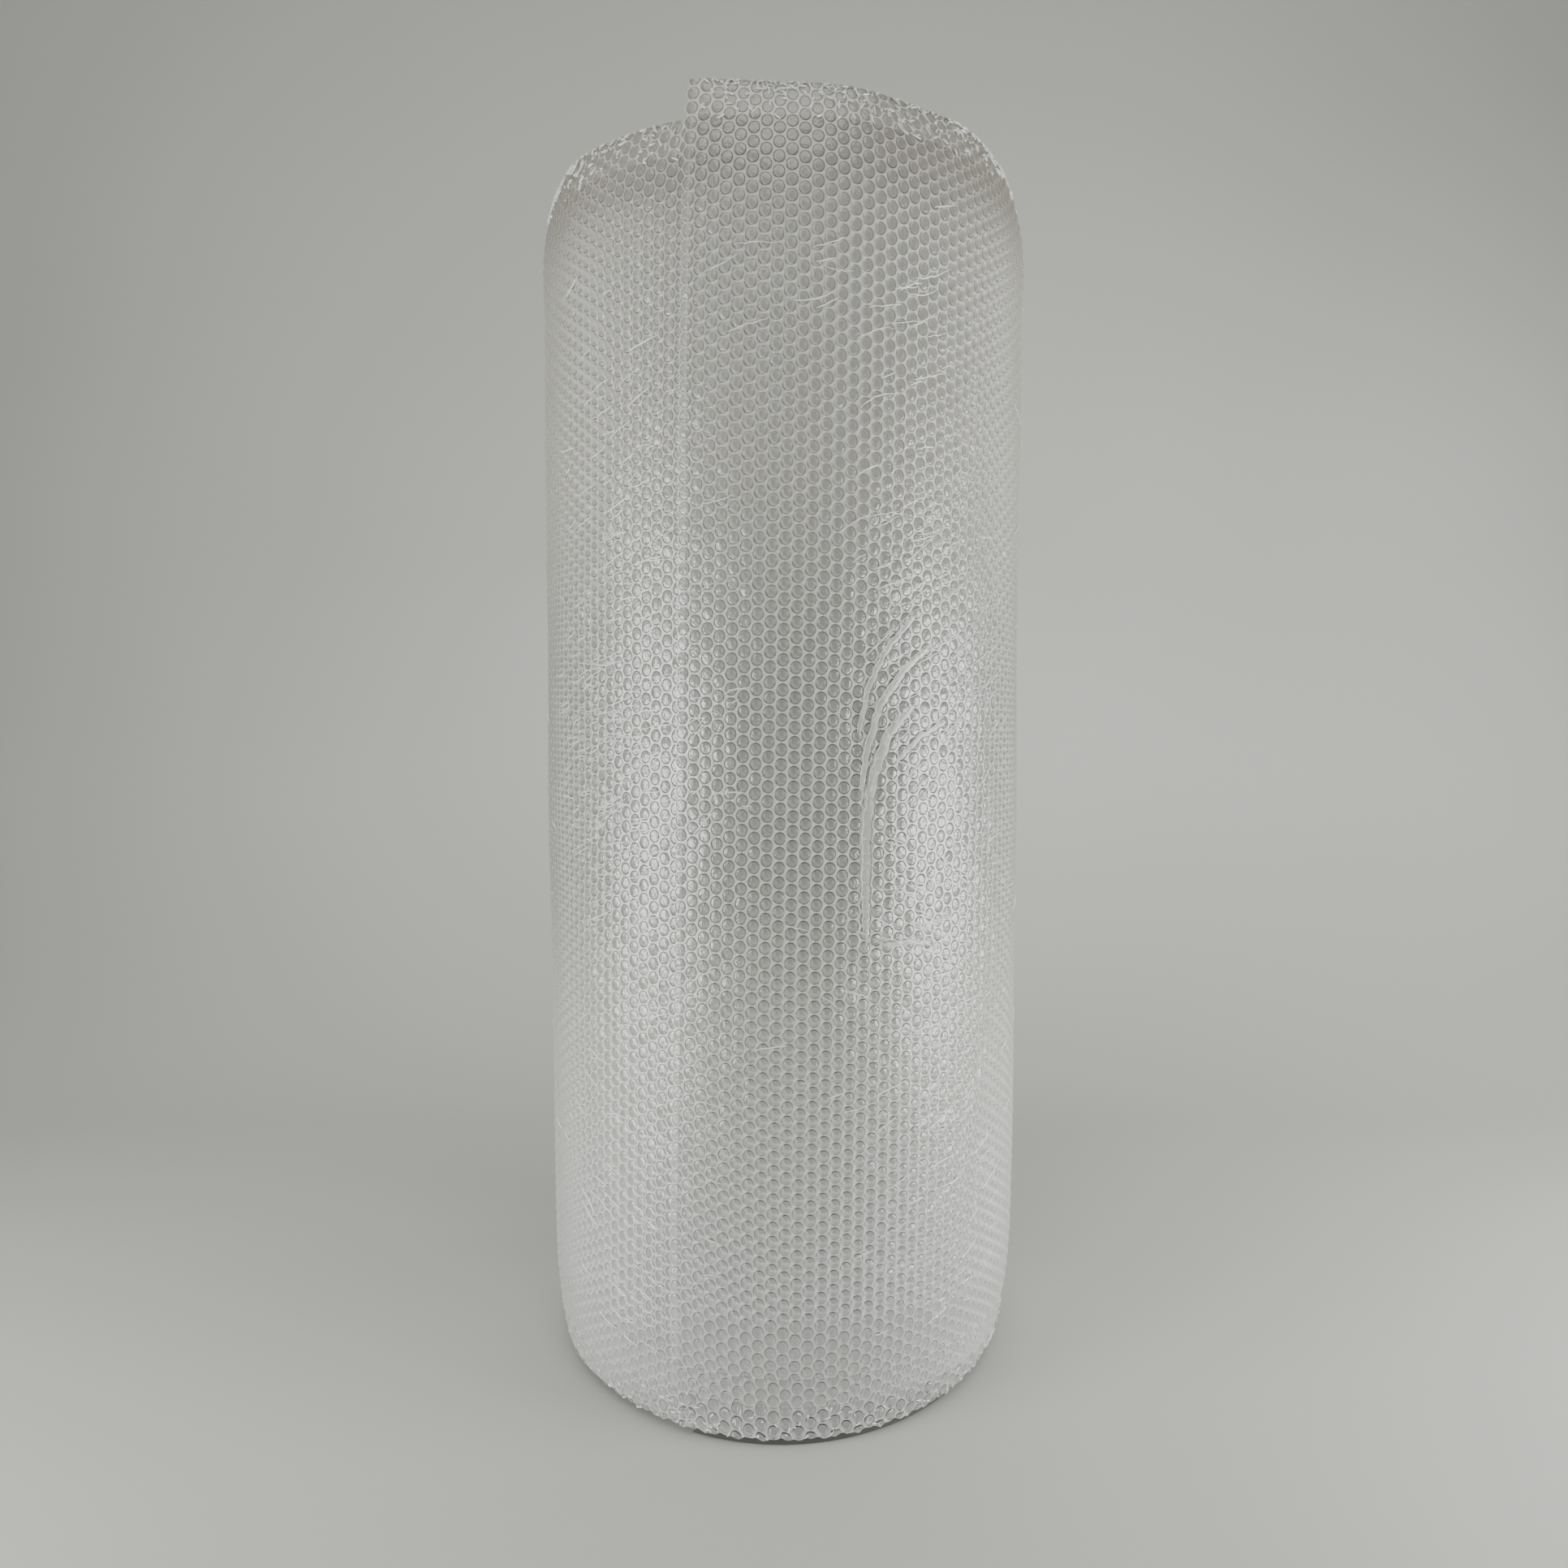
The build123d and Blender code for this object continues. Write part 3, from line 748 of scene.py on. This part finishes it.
# Zones: degrees round from the front, height, spread of both, slope up to the right, and how many.
for centre, height, spread_round, spread_up, slope, total in (
    (-33, 0.84, 12, 0.09, 0.34, 34),
    (4, 0.89, 9, 0.03, 0.38, 9),
    (22, 0.86, 9, 0.08, 0.38, 20),
    (30, 0.72, 10, 0.06, 0.45, 18),
    (-38, 0.58, 11, 0.13, 0.25, 170),
    (-36, 0.20, 14, 0.10, -0.28, 44),
    (42, 0.22, 14, 0.11, 0.28, 40),
    (40, 0.64, 10, 0.07, 0.60, 60),
    (32, 0.44, 10, 0.05, -0.40, 50),
    (-18, 0.54, 1.5, 0.11, 0.80, 30),
    (10, 0.33, 24, 0.16, 0.14, 8),
    (120, 0.50, 40, 0.30, 0.18, 110),
    (210, 0.50, 50, 0.30, -0.18, 110),
):
    for _ in range(total):
        round_angle = math.radians(centre + spread_round * dice.normal() - 90)
        turned = (round_angle - CUT_END_ANGLE) % (2 * math.pi)
        along = turned * LOOSE_RADIUS
        up = height + spread_up * dice.normal() * 0.8 - CUT_END_LIFT
        if not EDGE_MARGIN < up < WEB_WIDTH - EDGE_MARGIN:
            continue
        reach = dice.uniform(0.004, 0.017)
        tilt = slope + 0.16 * dice.normal()
        bow = 0.10 * dice.normal()
        path = []
        for k in range(11):
            t = k / 10 * 2 - 1
            bent = reach * (tilt * t + bow * t * t)
            path.append((along + reach * t, up + bent + CREASE_WANDER * dice.normal()))
        if path[0][0] < END_MARGIN or path[-1][0] > TURN_LENGTH - END_MARGIN:
            continue
        add_crease(path, dice.uniform(0.0007, 0.0014), dice.uniform(0.0004, 0.0010))

# One patch on the right has been pressed flat. A broad smooth fold runs up its left side and fans out
# over it, with a shaded groove beside it, and a narrower one runs along the patch's foot. Each row
# gives degrees round from the front and heights, then the fold's width and rise and its groove's side.
for corners, fold_width, fold_rise, groove_side in (
    (((18.2, 0.405), (17.6, 0.450), (17.6, 0.500), (18.8, 0.540), (22.0, 0.570), (28.0, 0.592)),
     0.0100, 0.0008, 0.0056),
    (((19.6, 0.410), (23.0, 0.404), (29.0, 0.405), (34.0, 0.400)), 0.0060, 0.0007, -0.0034),
    (((16.2, 0.520), (17.4, 0.560), (20.0, 0.592), (25.0, 0.618), (32.0, 0.640)), 0.0070, 0.0008, 0.0040),
    (((15.4, 0.566), (17.2, 0.604), (21.0, 0.634), (28.0, 0.662)), 0.0055, 0.0007, 0.0032),
    (((24.0, 0.548), (29.0, 0.566), (36.0, 0.578)), 0.0050, 0.0007, 0.0028),
):
    bearings, heights = zip(*corners)
    spots = np.linspace(0, len(corners) - 1, 9 * len(corners))
    path = []
    for bearing, height in zip(np.interp(spots, range(len(corners)), bearings),
                               np.interp(spots, range(len(corners)), heights)):
        turned = math.radians(bearing - 90) - CUT_END_ANGLE
        along = turned * LOOSE_RADIUS + FOLD_WANDER * dice.normal()
        climb = CLIMB_PER_TURN * along / TURN_LENGTH
        path.append((along, height - CUT_END_LIFT + climb + FOLD_WANDER * dice.normal()))
    add_crease(path, fold_width, fold_rise, FOLD)
    add_crease([(along + groove_side * 0.8, up - groove_side * 0.6) for along, up in path],
               0.0014, 0.0008, GROOVE)
    add_crease([(along - groove_side * 0.5, up + groove_side * 0.4) for along, up in path], 0.0009, 0.0009)

# Along the top edge the cut bubbles leave little upturned flaps that catch the light.
for _ in range(900):
    along = dice.uniform(END_MARGIN, TURN_LENGTH - END_MARGIN)
    up = WEB_WIDTH - 0.0004 - 0.032 * dice.random() ** 2.6
    heading = dice.uniform(0, math.pi)
    reach = dice.uniform(0.0012, 0.0038)
    path = [(along + reach * t * math.cos(heading), up + reach * t * math.sin(heading)) for t in (-1, 0, 1)]
    add_crease(path, 0.0018, 0.0018)
crease_piece("film_creases", wind_loose)

# The crushed bubbles along the foot glitter in the same way.
for _ in range(420):
    along = dice.uniform(0.0, 2 * math.pi * TIGHT_RADIUS)
    up = 0.0008 + 0.022 * dice.random() ** 1.6
    heading = dice.uniform(0, math.pi)
    reach = dice.uniform(0.0010, 0.0026)
    path = [(along + reach * t * math.cos(heading), up + reach * t * math.sin(heading)) for t in (-1, 0, 1)]
    add_crease(path, 0.0013, 0.0012)
crease_piece("foot_glints", wind_tight)


# ---------------------------------------------------------------------------------------------
# The setting: a pale floor that sweeps up into a wall behind, two tall soft lights at the sides,
# and the camera at mid height, close to the roll.
# ---------------------------------------------------------------------------------------------
SWEEP_START, SWEEP_RADIUS = 0.5, 1.2
FLOOR_FRONT, WALL_TOP, HALF_WIDTH = -4.0, 4.0, 5.0
FLOOR_DROP = 0.0005           # the floor lies this far under the roll, so the two don't share a plane

backdrop_paint, tree = new_material("backdrop_paint")
object_place = add_node(tree, "ShaderNodeTexCoord")
haze = add_node(tree, "ShaderNodeTexNoise", {},
                {"Vector": object_place.outputs["Object"], "Scale": 1.2, "Detail": 1.0})
wall_tone = add_node(tree, "ShaderNodeMix", {"data_type": "RGBA"},
                     {"Factor": haze.outputs["Fac"], "A": linear("#b8b9b3"), "B": linear("#c0c1bc")})
height = add_node(tree, "ShaderNodeSeparateXYZ", {}, {0: object_place.outputs["Object"]})
on_floor = add_node(tree, "ShaderNodeMapRange", {"interpolation_type": "SMOOTHSTEP"},
                    {"Value": height.outputs["Z"], "From Min": 0.5, "From Max": 0.0})
wall_tone = add_node(tree, "ShaderNodeMix", {"data_type": "RGBA"},
                     {"Factor": on_floor.outputs[0], "A": wall_tone.outputs["Result"],
                      "B": linear("#b3b4ae")})
wall_shader = add_node(tree, "ShaderNodeBsdfPrincipled", {},
                       {"Base Color": wall_tone.outputs["Result"], "Roughness": 0.75})
add_node(tree, "ShaderNodeOutputMaterial", {}, {"Surface": wall_shader.outputs[0]})

sweep = [(FLOOR_FRONT, 0.0), (SWEEP_START, 0.0)]
sweep += [(SWEEP_START + SWEEP_RADIUS * math.sin(a), SWEEP_RADIUS - SWEEP_RADIUS * math.cos(a))
          for a in np.linspace(0.06, math.pi / 2, 24)]
sweep.append((SWEEP_START + SWEEP_RADIUS, WALL_TOP))
backdrop = new_piece(
    "backdrop",
    [(x, y, z - FLOOR_DROP) for y, z in sweep for x in (-HALF_WIDTH, HALF_WIDTH)],
    [(2 * k, 2 * k + 1, 2 * k + 3, 2 * k + 2) for k in range(len(sweep) - 1)],
    backdrop_paint,
)
backdrop.data.polygons.foreach_set("use_smooth", [True] * len(backdrop.data.polygons))

world = bpy.data.worlds.new("soft_room")
bpy.context.scene.world = world
world.use_nodes = True
world.node_tree.nodes["Background"].inputs["Color"].default_value = linear("#e9eae8")
world.node_tree.nodes["Background"].inputs["Strength"].default_value = 0.56

# Lamps: degrees round from the front, distance, height, width, tallness, watts, and where they point.
for name, bearing, distance, height, width, tall, power, aim in (
    ("left_softbox", -56, 1.5, 0.34, 0.75, 0.8, 28.0, (0.0, 0.0, 0.45)),
    ("right_softbox", 70, 1.5, 0.32, 0.85, 0.8, 36.0, (0.0, 0.0, 0.45)),
    ("overhead_softbox", 0, 0.9, 2.4, 1.6, 1.6, 15.0, (0.0, 0.0, 0.45)),
    ("back_fill", 180, 1.2, 1.5, 1.2, 1.0, 5.0, (0.0, 0.0, 0.5)),
    ("wall_wash", 108, 1.9, 1.0, 0.6, 0.8, 7.0, (1.3, 1.7, 0.5)),
):
    lamp = bpy.data.lights.new(name, "AREA")
    lamp.shape, lamp.size, lamp.size_y, lamp.energy = "RECTANGLE", width, tall, power
    holder = bpy.data.objects.new(name, lamp)
    bearing = math.radians(bearing)
    holder.location = (distance * math.sin(bearing), -distance * math.cos(bearing), height)
    holder.rotation_euler = (Vector(aim) - holder.location).to_track_quat("-Z", "Y").to_euler()
    holder.visible_camera = False
    bpy.context.collection.objects.link(holder)

lens = bpy.data.cameras.new("camera")
lens.lens, lens.sensor_width = 26.5, 36.0
camera = bpy.data.objects.new("camera", lens)
camera.location = (0.0, -1.0976, 0.593)
camera.rotation_euler = (math.radians(90 - 4.0), 0.0, math.radians(-0.12))
bpy.context.collection.objects.link(camera)
bpy.context.scene.camera = camera
